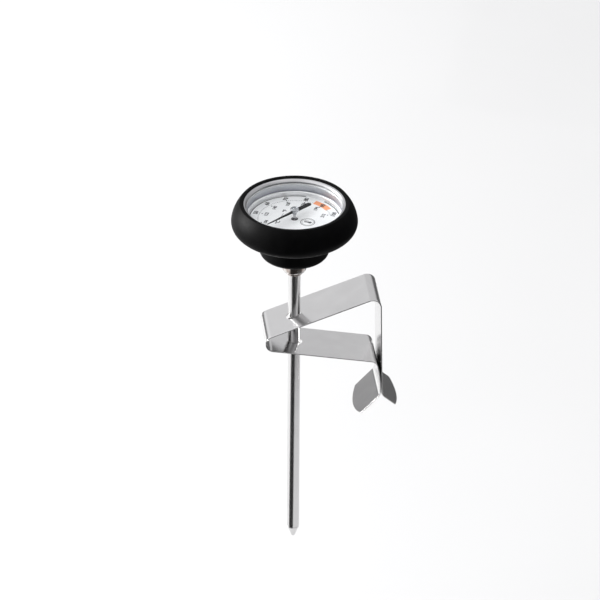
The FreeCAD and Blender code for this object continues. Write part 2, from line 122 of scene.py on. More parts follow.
def rounded(corners, steps):
    """A closed profile from corners (radius, height, rounding), with each rounding drawn as an arc."""
    points = []
    count = len(corners)
    for i, (x, y, fillet) in enumerate(corners):
        if not fillet:
            points.append((x, y))
            continue
        before = Vector(corners[i - 1][:2])
        after = Vector(corners[(i + 1) % count][:2])
        here = Vector((x, y))
        back, on = (before - here).normalized(), (after - here).normalized()
        half = back.angle(on) / 2
        reach = fillet / math.tan(half)
        centre = here + (back + on).normalized() * (fillet / math.sin(half))
        first = here + back * reach - centre
        last = here + on * reach - centre
        swing = first.angle(last)
        for k in range(steps + 1):
            share = k / steps
            spoke = first * math.sin((1 - share) * swing) + last * math.sin(share * swing)
            points.append(tuple(centre + spoke / math.sin(swing)))
    return points


def lathe(profile, turns=TURNS):
    """A solid of revolution about the stem's axis, from a closed profile in millimetres."""
    bm = bmesh.new()
    rings = []
    for radius, height in profile:
        z = RIM_Z + height * MM
        if radius < 1e-6:
            rings.append([bm.verts.new((AXIS_X, AXIS_Y, z))])
            continue
        ring = []
        for k in range(turns):
            a = 2 * math.pi * k / turns
            ring.append(bm.verts.new((AXIS_X + radius * MM * math.cos(a),
                                      AXIS_Y + radius * MM * math.sin(a), z)))
        rings.append(ring)
    for i, ring in enumerate(rings):
        other = rings[(i + 1) % len(rings)]
        for k in range(turns):
            j = (k + 1) % turns
            corners = (ring[k % len(ring)], ring[j % len(ring)])
            far = (other[j % len(other)], other[k % len(other)])
            loop = []
            for vert in corners + far:
                if vert not in loop:
                    loop.append(vert)
            if len(loop) > 2:
                bm.faces.new(loop)
    return bm


def prism(bm, outline, low, high):
    """A flat-sided block with the given outline, in metres."""
    bottom = [bm.verts.new((x, y, low)) for x, y in outline]
    top = [bm.verts.new((x, y, high)) for x, y in outline]
    count = len(outline)
    bm.faces.new(top)
    bm.faces.new(bottom[::-1])
    for i in range(count):
        j = (i + 1) % count
        bm.faces.new((bottom[i], bottom[j], top[j], top[i]))


# ---------------------------------------------------------------- materials

SURFACE_IOR = 1.5


class Paint:
    """A small builder of node materials round one Principled shader."""

    def __init__(self, name, metallic=0.0, specular=0.5):
        self.material = bpy.data.materials.new(name)
        self.material.use_nodes = True
        self.nodes = self.material.node_tree.nodes
        self.links = self.material.node_tree.links
        self.shader = self.nodes["Principled BSDF"]
        self.output = self.nodes["Material Output"]
        self.shader.inputs["Metallic"].default_value = metallic
        self.shader.inputs["Specular IOR Level"].default_value = specular
        self.shader.inputs["IOR"].default_value = SURFACE_IOR
        self.place = self.nodes.new("ShaderNodeTexCoord").outputs["Object"]

    def noise(self, scale, detail=3.0, stretch=(1, 1, 1)):
        """Noise over the piece, with its grain stretched along the axes of smaller factors."""
        mapping = self.nodes.new("ShaderNodeMapping")
        mapping.inputs["Scale"].default_value = stretch
        self.links.new(self.place, mapping.inputs["Vector"])
        noise = self.nodes.new("ShaderNodeTexNoise")
        noise.inputs["Scale"].default_value = scale
        noise.inputs["Detail"].default_value = detail
        self.links.new(mapping.outputs["Vector"], noise.inputs["Vector"])
        return noise.outputs["Fac"]

    def spread(self, factor, low, high, start=0.35, end=0.65):
        """Map a factor between two values."""
        node = self.nodes.new("ShaderNodeMapRange")
        for socket, value in (("From Min", start), ("From Max", end), ("To Min", low), ("To Max", high)):
            node.inputs[socket].default_value = value
        self.links.new(factor, node.inputs["Value"])
        return node.outputs["Result"]

    def ramp(self, factor, stops):
        """Colours along a factor, from (position, colour) stops."""
        node = self.nodes.new("ShaderNodeValToRGB")
        elements = node.color_ramp.elements
        while len(elements) < len(stops):
            elements.new(1.0)
        for element, (position, colour) in zip(elements, stops):
            element.position = position
            element.color = tuple(colour) + (1.0,)
        self.links.new(factor, node.inputs["Fac"])
        return node.outputs["Color"]

    def feed(self, socket, output):
        """Drive one of the shader's sockets."""
        self.links.new(output, self.shader.inputs[socket])

    def bump(self, factor, distance, strength):
        """Raise the surface by a factor, to a height in metres."""
        node = self.nodes.new("ShaderNodeBump")
        node.inputs["Strength"].default_value = strength
        node.inputs["Distance"].default_value = distance
        self.links.new(factor, node.inputs["Height"])
        self.links.new(node.outputs["Normal"], self.shader.inputs["Normal"])

    def height(self, low, high):
        """How far up the piece a point is, 0 at the low height and 1 at the high one, in metres."""
        split = self.nodes.new("ShaderNodeSeparateXYZ")
        self.links.new(self.place, split.inputs["Vector"])
        return self.spread(split.outputs["Z"], 0.0, 1.0, low, high)

    def add(self, first, second):
        """The sum of two factors."""
        node = self.nodes.new("ShaderNodeMath")
        node.operation = "ADD"
        self.links.new(first, node.inputs[0])
        self.links.new(second, node.inputs[1])
        return node.outputs["Value"]


def metal(name, dark, light, rough_low, rough_high, scale, stretch, grain=0.000004, strength=0.25):
    """Bare metal with a drawn or brushed grain."""
    paint = Paint(name, metallic=1.0)
    grain_noise = paint.noise(scale, 4.0, stretch)
    cloud = paint.noise(140.0, 2.0)
    paint.feed("Base Color", paint.ramp(paint.spread(cloud, 0, 1), [(0.0, dark), (1.0, light)]))
    paint.feed("Roughness", paint.spread(grain_noise, rough_low, rough_high))
    paint.bump(grain_noise, grain, strength)
    return paint


def plain(name, dark, light, rough_low, rough_high, scale, bump_size, strength=0.3, specular=0.5):
    """Paint, plastic or rubber with a fine even texture."""
    paint = Paint(name, specular=specular)
    fine = paint.noise(scale, 3.0)
    cloud = paint.noise(scale / 12, 2.0)
    paint.feed("Base Color", paint.ramp(paint.spread(cloud, 0, 1), [(0.0, dark), (1.0, light)]))
    paint.feed("Roughness", paint.spread(fine, rough_low, rough_high))
    paint.bump(fine, bump_size, strength)
    return paint


ALONG_STRIP = (0.05, 1.0, 0.05)
ALONG_STEM = (1.0, 1.0, 0.03)
ROUND_AXIS = (0.05, 0.05, 1.0)
EVEN = (1, 1, 1)

rubber = plain("black_rubber", (0.0012, 0.0012, 0.0013), (0.0022, 0.0022, 0.0024), 0.46, 0.56, 2600,
               0.00003, 0.2, specular=0.05).material
strip_steel = metal("spring_steel", (0.64, 0.635, 0.635), (0.665, 0.66, 0.66), 0.17, 0.21, 2600, ALONG_STRIP,
                    0.000001, 0.1).material
stem_steel = metal("drawn_steel", (0.645, 0.64, 0.64), (0.67, 0.665, 0.665), 0.17, 0.21, 1200, ALONG_STEM,
                   0.0000005, 0.05).material
bezel_steel = metal("satin_bezel", (0.42, 0.42, 0.43), (0.48, 0.48, 0.49), 0.29, 0.39, 2400, EVEN).material
case_steel = metal("case_sheet", (0.42, 0.42, 0.43), (0.5, 0.5, 0.51), 0.3, 0.45, 1500, EVEN).material
band_metal = metal("bright_band", (0.9, 0.9, 0.905), (0.95, 0.95, 0.955), 0.4, 0.5, 2000, ROUND_AXIS).material
hub_metal = metal("turned_hub", (0.38, 0.39, 0.41), (0.48, 0.485, 0.5), 0.2, 0.32, 4000, ROUND_AXIS).material
shaft_steel = metal("shaft_wire", (0.45, 0.45, 0.46), (0.55, 0.55, 0.56), 0.2, 0.3, 3000, ALONG_STEM).material
brass = metal("brass", (0.52, 0.36, 0.14), (0.62, 0.44, 0.19), 0.25, 0.38, 2200, ROUND_AXIS).material
bimetal = metal("bimetal_strip", (0.36, 0.32, 0.27), (0.46, 0.41, 0.34), 0.3, 0.44, 2200, EVEN).material
gasket = plain("pale_gasket", (0.84, 0.84, 0.85), (0.9, 0.9, 0.905), 0.6, 0.75, 2200, 0.00002).material
ground_glass = plain("ground_lens_edge", (0.82, 0.83, 0.85), (0.88, 0.89, 0.9),
                     0.5, 0.6, 2200, 0.00001).material
# Painted shade: the bushes are near-black so the shaft hole in the dial looks dark.
bush = plain("bush_plastic", (0.03, 0.03, 0.032), (0.05, 0.05, 0.053), 0.4, 0.55, 2200, 0.00001).material
dial_white = plain("dial_enamel", (0.86, 0.86, 0.87), (0.9, 0.9, 0.905), 0.42, 0.55, 3200, 0.000004).material
dial_black = plain("dial_ink", (0.022, 0.022, 0.026), (0.034, 0.034, 0.04),
                   0.5, 0.62, 3200, 0.000003).material
dial_grey = plain("dial_fine_ink", (0.045, 0.045, 0.05), (0.07, 0.07, 0.075),
                  0.5, 0.62, 3200, 0.000003).material
dial_orange = plain("dial_zone_ink", (0.90, 0.33, 0.15), (0.95, 0.39, 0.19),
                    0.45, 0.58, 3200, 0.000003).material
pointer_black = plain("pointer_lacquer", (0.004, 0.004, 0.0045), (0.007, 0.007, 0.0075), 0.36, 0.48, 2600,
                      0.000005, specular=0.15).material


def heat_tinted(name, low, high):
    """Steel with the straw and brown bands that a weld leaves between two heights."""
    paint = metal(name, (0.5, 0.5, 0.5), (0.6, 0.6, 0.6), 0.14, 0.2, 2400, ROUND_AXIS, 0.000001, 0.1)
    wander = paint.spread(paint.noise(260.0, 3.0), -0.12, 0.12)
    tint = paint.add(paint.height(low, high), wander)
    paint.feed("Base Color", paint.ramp(tint, [
        (0.0, (0.64, 0.63, 0.62)),
        (0.12, (0.60, 0.58, 0.565)),
        (0.22, (0.40, 0.335, 0.30)),
        (0.4, (0.50, 0.455, 0.43)),
        (0.65, (0.58, 0.56, 0.545)),
        (1.0, (0.63, 0.62, 0.615)),
    ]))
    return paint.material


def shaded_sleeve(low, high):
    """Satin metal with painted shade: darker towards the foot of the recessed wall, paler near its top edge.
    """
    paint = metal("satin_sleeve", (0.5, 0.5, 0.5), (0.6, 0.6, 0.6), 0.34, 0.46, 2600, ROUND_AXIS)
    wander = paint.spread(paint.noise(180.0, 2.0), -0.05, 0.05)
    # Painted shade: the wall's colour runs from dark at its foot by the dial to pale at its top.
    paint.feed("Base Color", paint.ramp(paint.add(paint.height(low, high), wander), [
        (0.0, (0.22, 0.23, 0.265)),
        (0.3, (0.40, 0.41, 0.45)),
        (1.0, (0.62, 0.63, 0.655)),
    ]))
    return paint.material


def clear_glass():
    """A thin clear pane: light goes through it, and a little is mirrored at a slant."""
    paint = Paint("clear_lens")
    gloss = paint.nodes.new("ShaderNodeBsdfGlossy")
    gloss.inputs["Roughness"].default_value = 0.02
    clear = paint.nodes.new("ShaderNodeBsdfTransparent")
    clear.inputs["Color"].default_value = (0.985, 0.99, 0.99, 1.0)
    slant = paint.nodes.new("ShaderNodeLayerWeight")
    slant.inputs["Blend"].default_value = 0.5
    steep = paint.nodes.new("ShaderNodeMath")
    steep.operation = "POWER"
    steep.inputs[1].default_value = 5.0
    smear = paint.spread(paint.noise(60.0, 2.0), 0.3, 0.45)
    share = paint.nodes.new("ShaderNodeMath")
    share.operation = "MULTIPLY"
    mix = paint.nodes.new("ShaderNodeMixShader")
    paint.links.new(slant.outputs["Facing"], steep.inputs[0])
    paint.links.new(steep.outputs["Value"], share.inputs[0])
    paint.links.new(smear, share.inputs[1])
    paint.links.new(share.outputs["Value"], mix.inputs["Fac"])
    paint.links.new(clear.outputs["BSDF"], mix.inputs[1])
    paint.links.new(gloss.outputs["BSDF"], mix.inputs[2])
    paint.links.new(mix.outputs["Shader"], paint.output.inputs["Surface"])
    return paint.material


# ---------------------------------------------------------------- head

def turned(name, corners, material, slot, *nodes, body="thermometer", steps=6, turns=TURNS):
    """A turned piece, from the corners of its closed profile."""
    return finish_piece(lathe(rounded(corners, steps), turns), name, material, body, nodes)


CREST = (19.5, 0.4)
BELLY = (22.5, -6.45)
UNDER = (19.8, -10.6)
flank = arc_points(CREST, BELLY, 13.0, -1, 18)
shoulder = arc_points(BELLY, UNDER, 4.0, -1, 16)
boot_profile = rounded([
    (18.05, 0.05, 0), (18.05, 0.2, 0.06), (18.9, 0.4, 0.5), CREST + (0,),
], 5) + flank + [BELLY] + shoulder + rounded([
    (19.8, -10.6, 0), (12.45, -12.4, 0.5), (12.45, -20.5, 2.1), (4.35, -20.5, 0.35), (4.35, -17.5, 0),
    (9.5, -17.5, 0), (9.5, -8.95, 0), (17.85, -8.95, 0), (17.85, -7.2, 0), (18.65, -7.2, 0),
    (18.65, -3.05, 0), (19.1, -3.05, 0), (19.1, -0.25, 0), (18.3, 0.05, 0),
], 8)
finish_piece(lathe(boot_profile, 192), "boot_shell", rubber, "thermometer", ("rubber_boot",))

turned("bezel_rim", [
    (17.0, -0.75, 0.03), (17.55, -0.2, 0.5), (18.1, 0.0, 0.3), (18.3, 0.0, 0), (19.05, -0.3, 0.15),
    (19.05, -3.0, 0.08), (18.65, -3.0, 0.08), (18.65, -0.83, 0), (17.0, -0.83, 0.03),
], bezel_steel, "bezel_steel", "bezel_ring")
lens = turned("lens_pane", [
    (0, -0.85, 0), (18.0, -0.85, 0.08), (18.0, -1.55, 0.08), (0, -1.55, 0),
], clear_glass(), "lens_glass", "lens")
lens.data.materials.append(ground_glass)
for polygon in lens.data.polygons:
    if abs(polygon.normal.z) < 0.5:
        polygon.material_index = 1
SLEEVE_LOW, SLEEVE_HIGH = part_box("spacer_sleeve")
# The wall sleeve carries painted shade, darker towards its foot.
turned("wall_sleeve", [
    (16.9, -1.92, 0.12), (18.0, -1.92, 0.05), (18.0, -4.42, 0.05), (16.9, -4.42, 0.2),
], shaded_sleeve(SLEEVE_LOW.z, SLEEVE_HIGH.z), "sleeve_metal", "spacer_sleeve")
turned("clamp_band", [
    (16.4, -4.44, 0.5), (18.0, -4.44, 0.05), (18.0, -6.08, 0.05), (16.4, -6.08, 0.12),
], band_metal, "clamp_metal", "dial_clamp_ring", steps=8)
turned("dial_face", [
    (0.95, -6.1, 0.04), (18.0, -6.1, 0.04), (18.0, -6.6, 0.04), (0.95, -6.6, 0.04),
], dial_white, "dial_paint", "dial_plate")

# ---------------------------------------------------------------- print on the dial

DIAL_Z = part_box("dial_plate")[1].z
INK_LOW = DIAL_Z - 0.01 * MM
INK_HIGH = DIAL_Z + 0.012 * MM
SCALE_ZERO = 306.5
DEGREES_PER_C = 3.0
DIAL_UP = 156.5
DOT_SIDES = 20
HOOP_SIDES = 48


def scale_angle(celsius):
    """The direction of a reading on the dial, in radians."""
    return math.radians(SCALE_ZERO - DEGREES_PER_C * celsius)


def on_dial(radius, angle):
    """A point of the dial in metres, from a radius in millimetres and an angle in radians."""
    return (AXIS_X + radius * MM * math.cos(angle), AXIS_Y + radius * MM * math.sin(angle))


def band(bm, inner, outer, first, last, high=INK_HIGH):
    """A printed arc between two scale readings."""
    a, b = scale_angle(first), scale_angle(last)
    count = max(2, int(abs(b - a) / math.radians(2)))
    angles = [a + (b - a) * i / count for i in range(count + 1)]
    outline = [on_dial(outer, angle) for angle in angles] + [on_dial(inner, angle) for angle in angles[::-1]]
    prism(bm, outline, INK_LOW, high)


def tick(bm, inner, outer, reading, width):
    """A printed radial line."""
    angle = scale_angle(reading)
    along = Vector((math.cos(angle), math.sin(angle)))
    across = Vector((-along.y, along.x)) * (width / 2 * MM)
    near, far = Vector(on_dial(inner, angle)), Vector(on_dial(outer, angle))
    outline = [near - across, far - across, far + across, near + across]
    prism(bm, [tuple(p) for p in outline], INK_LOW, INK_HIGH)


def dot(bm, centre, radius):
    """A printed round spot."""
    outline = []
    for k in range(DOT_SIDES):
        a = 2 * math.pi * k / DOT_SIDES
        outline.append((centre[0] + radius * MM * math.cos(a), centre[1] + radius * MM * math.sin(a)))
    prism(bm, outline, INK_LOW, INK_HIGH)


def hoop(bm, centre, inner, outer):
    """A printed circle line."""
    rings = []
    for radius in (inner, outer):
        for z in (INK_LOW, INK_HIGH):
            ring = []
            for k in range(HOOP_SIDES):
                a = 2 * math.pi * k / HOOP_SIDES
                ring.append(bm.verts.new((centre[0] + radius * MM * math.cos(a),
                                          centre[1] + radius * MM * math.sin(a), z)))
            rings.append(ring)
    in_low, in_high, out_low, out_high = rings
    for first, second in ((in_low, in_high), (in_high, out_high), (out_high, out_low), (out_low, in_low)):
        for k in range(HOOP_SIDES):
            j = (k + 1) % HOOP_SIDES
            bm.faces.new((first[k], first[j], second[j], second[k]))


def label(bm, text, size, centre, degrees, high=INK_HIGH):
    """Printed figures, centred on a point of the dial."""
    curve = bpy.data.curves.new("figures", "FONT")
    curve.body = text
    curve.size = size * MM
    curve.align_x = "CENTER"
    curve.align_y = "CENTER"
    curve.extrude = (high - INK_LOW) / 2
    curve.resolution_u = 3
    curve.offset = 0.042 * MM * size
    holder = bpy.data.objects.new("figures", curve)
    bpy.context.scene.collection.objects.link(holder)
    evaluated = holder.evaluated_get(bpy.context.evaluated_depsgraph_get())
    mesh = bpy.data.meshes.new_from_object(evaluated)
    spot = Matrix.Translation((centre[0], centre[1], (INK_LOW + high) / 2))
    mesh.transform(spot @ Matrix.Rotation(math.radians(degrees), 4, "Z"))
    bm.from_mesh(mesh)
    bpy.data.objects.remove(holder)
    bpy.data.curves.remove(curve)
    bpy.data.meshes.remove(mesh)


READ_ALONG = DIAL_UP - 90
ink = bmesh.new()
band(ink, 15.9, 16.25, 0, 79)
band(ink, 15.9, 16.25, 88, 100)
for celsius in range(0, 101, 10):
    turn = scale_angle(celsius)
    if celsius != 90:
        label(ink, str(celsius), 2.1, on_dial(14.3, turn), READ_ALONG)
    dot(ink, on_dial(12.0, turn), 0.26)
    label(ink, str(round(celsius * 9 / 5 + 32)), 1.7, on_dial(10.4, turn), READ_ALONG)
# Painted shade: this black ring round the shaft hole stands in for the dark inside the hole.
hoop(ink, (AXIS_X, AXIS_Y), 0.97, 1.24)
badge = on_dial(5.2, math.radians(-33.1))
hoop(ink, badge, 2.42, 2.64)
finish_piece(ink, "dial_figures", dial_black, "thermometer", weighted=False)

fine = bmesh.new()
for celsius in range(0, 101):
    if not 84.6 < celsius < 94.8:
        tick(fine, 12.8, 13.2, celsius, 0.16 if celsius % 5 else 0.24)
hoop(fine, badge, 1.98, 2.1)
up = Vector((math.cos(math.radians(DIAL_UP)), math.sin(math.radians(DIAL_UP))))
right = Vector((up.y, -up.x))
badge_centre = Vector(badge)
bulb = badge_centre - up * (0.85 * MM)
dot(fine, tuple(bulb), 0.62)
bar = [bulb - right * (0.27 * MM), bulb + right * (0.27 * MM)]
bar += [bar[1] + up * (2.1 * MM), bar[0] + up * (2.1 * MM)]
prism(fine, [tuple(p) for p in bar], INK_LOW, INK_HIGH + 0.004 * MM)
for step in range(4):
    corner = badge_centre + right * (0.45 * MM) + up * ((-0.1 + 0.4 * step) * MM)
    mark = [corner, corner + right * (0.6 * MM)]
    mark += [mark[1] + up * (0.18 * MM), mark[0] + up * (0.18 * MM)]
    prism(fine, [tuple(p) for p in mark], INK_LOW, INK_HIGH)
unit_row = Vector((AXIS_X, AXIS_Y)) + up * (4.9 * MM)
for text, shift in (("°C", -4.2), ("°F", 4.2)):
    label(fine, text, 1.9, tuple(unit_row + right * (shift * MM)), READ_ALONG)
rule = [unit_row - right * (2.4 * MM) - up * (0.08 * MM), unit_row + right * (2.4 * MM) - up * (0.08 * MM)]
rule += [rule[1] + up * (0.16 * MM), rule[0] + up * (0.16 * MM)]
prism(fine, [tuple(p) for p in rule], INK_LOW, INK_HIGH)
finish_piece(fine, "dial_fine_marks", dial_grey, "thermometer", weighted=False)

zone = bmesh.new()
band(zone, 12.5, 14.85, 84.7, 94.7, INK_HIGH - 0.006 * MM)
finish_piece(zone, "dial_warning_zone", dial_orange, "thermometer", weighted=False)
ninety = bmesh.new()
label(ninety, "90", 2.1, on_dial(13.7, scale_angle(90)), READ_ALONG, INK_HIGH + 0.004 * MM)
finish_piece(ninety, "dial_zone_figure", dial_black, "thermometer", weighted=False)

# ---------------------------------------------------------------- pointer

POINTER_TURN = math.radians(217.9)
POINTER_LOW, POINTER_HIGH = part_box("pointer")


def pointer_blade():
    """The needle and its rounded tail, in one flat blade with softened edges."""
    tail_end, tail_half, tip_half, root_half = 7.9, 0.95, 0.14, 0.62
    sides = [(13.4, tip_half), (1.55, root_half), (0.3, 0.9), (-0.5, tail_half), (-6.95, tail_half)]
    for k in range(1, 12):
        a = math.pi * k / 24
        sides.append((-6.95 - 0.95 * math.sin(a), tail_half * math.cos(a)))
    outline = sides + [(x, -y) for x, y in sides[::-1]]
    outline = [p for p in outline if p[0] > -tail_end]
    bm = bmesh.new()
    levels = [(0.05, POINTER_LOW.z), (0.0, POINTER_LOW.z + 0.05 * MM), (0.0, POINTER_HIGH.z - 0.08 * MM),
              (0.08, POINTER_HIGH.z)]
    rings = []
    for inset, z in levels:
        ring = []
        for x, y in outline:
            half = max(abs(y) - inset, 0.05) * (1 if y > 0 else -1)
            x = x - inset if x > 0 else x + inset
            ring.append(bm.verts.new((x * MM, half * MM, z)))
        rings.append(ring)
    count = len(outline)
    for low, high in zip(rings, rings[1:]):
        for i in range(count):
            j = (i + 1) % count
            bm.faces.new((low[i], low[j], high[j], high[i]))
    for ring in (rings[0], rings[-1]):
        half = count // 2
        for i in range(half - 1):
            bm.faces.new((ring[i], ring[i + 1], ring[count - 2 - i], ring[count - 1 - i]))
    turn = Matrix.Translation((AXIS_X, AXIS_Y, 0)) @ Matrix.Rotation(POINTER_TURN, 4, "Z")
    bmesh.ops.transform(bm, matrix=turn, verts=bm.verts[:])
    return bm


finish_piece(pointer_blade(), "pointer_needle", pointer_black, "pointer_set", ("pointer",),
             weighted=False)
turned("pointer_cap", [
    (0, -1.86, 0), (0.42, -1.86, 0.03), (0.5, -1.98, 0.03), (0.82, -1.98, 0.03), (0.9, -1.8, 0.04),
    (1.55, -1.8, 0.35), (1.55, -2.78, 0.08), (0.7, -2.78, 0), (0.7, -4.2, 0.06), (0.5, -4.2, 0),
    (0.5, -2.3, 0), (0, -2.3, 0),
], hub_metal, "hub_metal", "pointer_hub", body="pointer_set", turns=72)

# ---------------------------------------------------------------- stem

turned("stem_sheath", [
    (2.24, -8.3, 0.06), (2.24, -137.02, 0.06), (1.94, -137.02, 0), (1.94, -8.3, 0),
], stem_steel, "stem_steel", "stem_tube", turns=96)
turned("stem_point", [
    (0, -134.1, 0), (1.92, -134.1, 0.1), (1.92, -137.1, 0), (2.2, -137.1, 0.06), (2.17, -137.4, 0.3),
    (0.55, -141.6, 0.45), (0, -141.6, 0),
], stem_steel, "stem_steel", "stem_tip", turns=96)
COLLAR_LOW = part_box("stem_collar")[0]
collar_steel = heat_tinted("tinted_collar", COLLAR_LOW.z, COLLAR_LOW.z + 9 * MM)
turned("collar_sleeve", [
    (2.26, -8.42, 0), (2.95, -8.42, 0), (2.95, -8.92, 0), (6.0, -8.92, 0.1), (6.0, -10.4, 0.1),
    (4.3, -10.4, 0.2), (4.3, -27.2, 0.8), (2.26, -27.2, 0.05),
], collar_steel, "collar_steel", "stem_collar", turns=112)
RING_LOW, RING_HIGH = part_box("collar_ring")
turned("collar_washer", [
    (2.26, -27.22, 0.04), (2.9, -27.22, 0.25), (2.9, -28.4, 0.25), (2.26, -28.4, 0.04),
], heat_tinted("tinted_ring", RING_LOW.z - 2 * MM, RING_HIGH.z + 4 * MM), "stem_steel", "collar_ring",
    turns=96)

# ---------------------------------------------------------------- clip

HINGE = next(joint for joint in frame["joints"] if joint["name"] == "clip_jaw")
HALF_WIDTH = 9.35
HALF_THICK = 0.2
EDGE_ROUND = 0.12
WIDTH_PARTS = 16
ARC_STEP = 3.0
SLOT_SIDES = 32
SLOT_RIM = 0.05
STEM_SLOT = (2.45, 0.2)
FOLD_X, _, FOLD_Z = HINGE["pos_m"]


def trace(point, heading, moves):
    """Follow a path and give its stations (x, z, heading), in millimetres and degrees."""
    stations = [(point[0], point[1], heading)]
    for kind, amount, goal in moves:
        x, z, _ = stations[-1]
        if kind == "run":
            way = math.radians(heading)
            stations.append((x + amount * math.cos(way), z + amount * math.sin(way), heading))
            continue
        side = 1 if goal > heading else -1
        count = max(2, round(abs(goal - heading) / ARC_STEP))
        spoke = math.radians(heading + 90 * side)
        centre = (x + amount * math.cos(spoke), z + amount * math.sin(spoke))
        for k in range(1, count + 1):
            now = heading + (goal - heading) * k / count
            spoke = math.radians(now + 90 * side)
            stations.append((centre[0] - amount * math.cos(spoke), centre[1] - amount * math.sin(spoke), now))
        heading = goal
    return stations


def section():
    """Half-width and height offsets round the strip's section, with rounded edges."""
    corners = [(HALF_WIDTH, HALF_THICK), (-HALF_WIDTH, HALF_THICK), (-HALF_WIDTH, -HALF_THICK),
               (HALF_WIDTH, -HALF_THICK)]
    outline = rounded([(x, y, EDGE_ROUND) for x, y in corners], 4)
    ring = []
    for i, (w, h) in enumerate(outline):
        next_w = outline[(i + 1) % len(outline)][0]
        parts = WIDTH_PARTS if abs(next_w - w) > HALF_WIDTH else 1
        ring += [(w + (next_w - w) * k / parts, h) for k in range(parts)]
    return ring


def sweep(stations, tab=None):
    """The strip along its stations. Tab gives the length and end radius of the last straight part."""
    ring_shape = section()
    rows = []
    for x, z, heading in stations:
        way = math.radians(heading)
        rows.append([(x - h * math.sin(way), w, z + h * math.cos(way)) for w, h in ring_shape])
    if tab:
        length, curve = tab
        x, z, heading = stations[-1]
        way = math.radians(heading)
        flat = math.sqrt(curve ** 2 - HALF_WIDTH ** 2)
        for k in range(1, 9):
            lean = math.radians(11.0 * max(0, k - 1))
            row = []
            for w, h in ring_shape:
                bulge = math.sqrt(curve ** 2 - w ** 2) - flat
                if k == 1:
                    s = length - HALF_THICK + bulge
                else:
                    s = length - HALF_THICK * (1 - math.sin(lean)) + bulge
                shrink = HALF_THICK * (1 - math.cos(lean)) / HALF_WIDTH
                h = h * math.cos(lean)
                row.append((x + s * math.cos(way) - h * math.sin(way), w * (1 - shrink),
                            z + s * math.sin(way) + h * math.cos(way)))
            rows.append(row)
    bm = bmesh.new()
    rings = [[bm.verts.new(Vector(p) * MM) for p in row] for row in rows]
    count = len(ring_shape)
    for first, second in zip(rings, rings[1:]):
        for i in range(count):
            j = (i + 1) % count
            bm.faces.new((first[i], first[j], second[j], second[i]))
    bm.faces.new(rings[0])
    bm.faces.new(rings[-1][::-1])
    bmesh.ops.recalc_face_normals(bm, faces=bm.faces[:])
    return bm


def cut_slot(bm, low, high, shift):
    """Cut the stem's round-ended slot through the strip between two heights, and soften its edges."""
    radius, run = STEM_SLOT
    cutter = bmesh.new()
    outline = []
    for side, first in ((1, -90), (-1, 90)):
        for k in range(SLOT_SIDES + 1):
            a = math.radians(first + 180 * k / SLOT_SIDES)
            outline.append((AXIS_X + (shift + side * run + radius * math.cos(a)) * MM,
                            AXIS_Y + radius * math.sin(a) * MM))
    prism(cutter, outline, low * MM, high * MM)
    bmesh.ops.recalc_face_normals(cutter, faces=cutter.faces[:])
    objects = []
    for name, source in (("strip_blank", bm), ("slot_cutter", cutter)):
        mesh = bpy.data.meshes.new(name)
        source.to_mesh(mesh)
        source.free()
        obj = bpy.data.objects.new(name, mesh)
        bpy.context.scene.collection.objects.link(obj)
        objects.append(obj)
    blank, tool = objects
    modifier = blank.modifiers.new("slot", "BOOLEAN")
    modifier.operation = "DIFFERENCE"
    modifier.solver = "EXACT"
    modifier.object = tool
    evaluated = blank.evaluated_get(bpy.context.evaluated_depsgraph_get())
    cut = bpy.data.meshes.new_from_object(evaluated)
    result = bmesh.new()
    result.from_mesh(cut)
    for obj in objects:
        mesh = obj.data
        bpy.data.objects.remove(obj)
        bpy.data.meshes.remove(mesh)
    bpy.data.meshes.remove(cut)
    rim = []
    for edge in result.edges:
        if len(edge.link_faces) != 2 or edge.calc_face_angle(0) < math.radians(45):
            continue
        spots = [(vert.co.x - AXIS_X) / MM - shift for vert in edge.verts]
        sides = [(vert.co.y - AXIS_Y) / MM for vert in edge.verts]
        gaps = [math.hypot(max(abs(x) - run, 0), y) - radius for x, y in zip(spots, sides)]
        if all(abs(gap) < 0.02 for gap in gaps):
            rim.append(edge)
    bmesh.ops.bevel(result, geom=rim, offset=SLOT_RIM * MM, segments=2, profile=0.5, affect="EDGES")
    return result


FOLD_SHARE = 48
fold_x, fold_z = FOLD_X / MM, FOLD_Z / MM
SEAM_HALF = 0.03
FOLD_RADIUS = 3.1
FOLD_BLEND = 2.2 * MM
upper_fold = trace((fold_x, fold_z + SEAM_HALF), 90, [("arc", FOLD_RADIUS, 90 - FOLD_SHARE)])
lower_fold = trace((fold_x, fold_z - SEAM_HALF), -90, [("arc", FOLD_RADIUS, -90 + FOLD_SHARE)])
upper = trace(upper_fold[-1][:2], 90 - FOLD_SHARE, [
    ("arc", FOLD_RADIUS, 20.3), ("run", 37.4363, 0), ("arc", 3.1, -88.8),
    ("run", 35.7908, 0), ("arc", 3.0, -41.0),
])
lower = trace(lower_fold[-1][:2], -90 + FOLD_SHARE, [
    ("arc", FOLD_RADIUS, -10.4), ("run", 36.2816, 0), ("arc", 2.8, -78.0), ("run", 0.6, 0),
    ("arc", 42.0, -88.8), ("run", 2.2605, 0), ("arc", 3.0, -133.0),
])
fold = [(x, z, heading + 180) for x, z, heading in lower_fold[::-1]] + upper_fold
upper_bm = cut_slot(sweep(upper, (5.2, 24.0)), RIM_Z / MM - 52.0, RIM_Z / MM - 37.0, -0.2)
finish_piece(upper_bm, "clip_long_leaf", strip_steel, "clip_frame", ("clip_upper",))
lower_bm = cut_slot(sweep(lower, (9.0, 17.3)), RIM_Z / MM - 61.0, RIM_Z / MM - 53.5, 0.3)
finish_piece(lower_bm, "clip_short_leaf", strip_steel, "jaw_leg", ("clip_lower",))
finish_piece(sweep(fold), "clip_fold", strip_steel,
             ("clip_frame", "jaw_leg",
              (FOLD_X, AXIS_Y, FOLD_Z + FOLD_BLEND), (FOLD_X, AXIS_Y, FOLD_Z - FOLD_BLEND)))
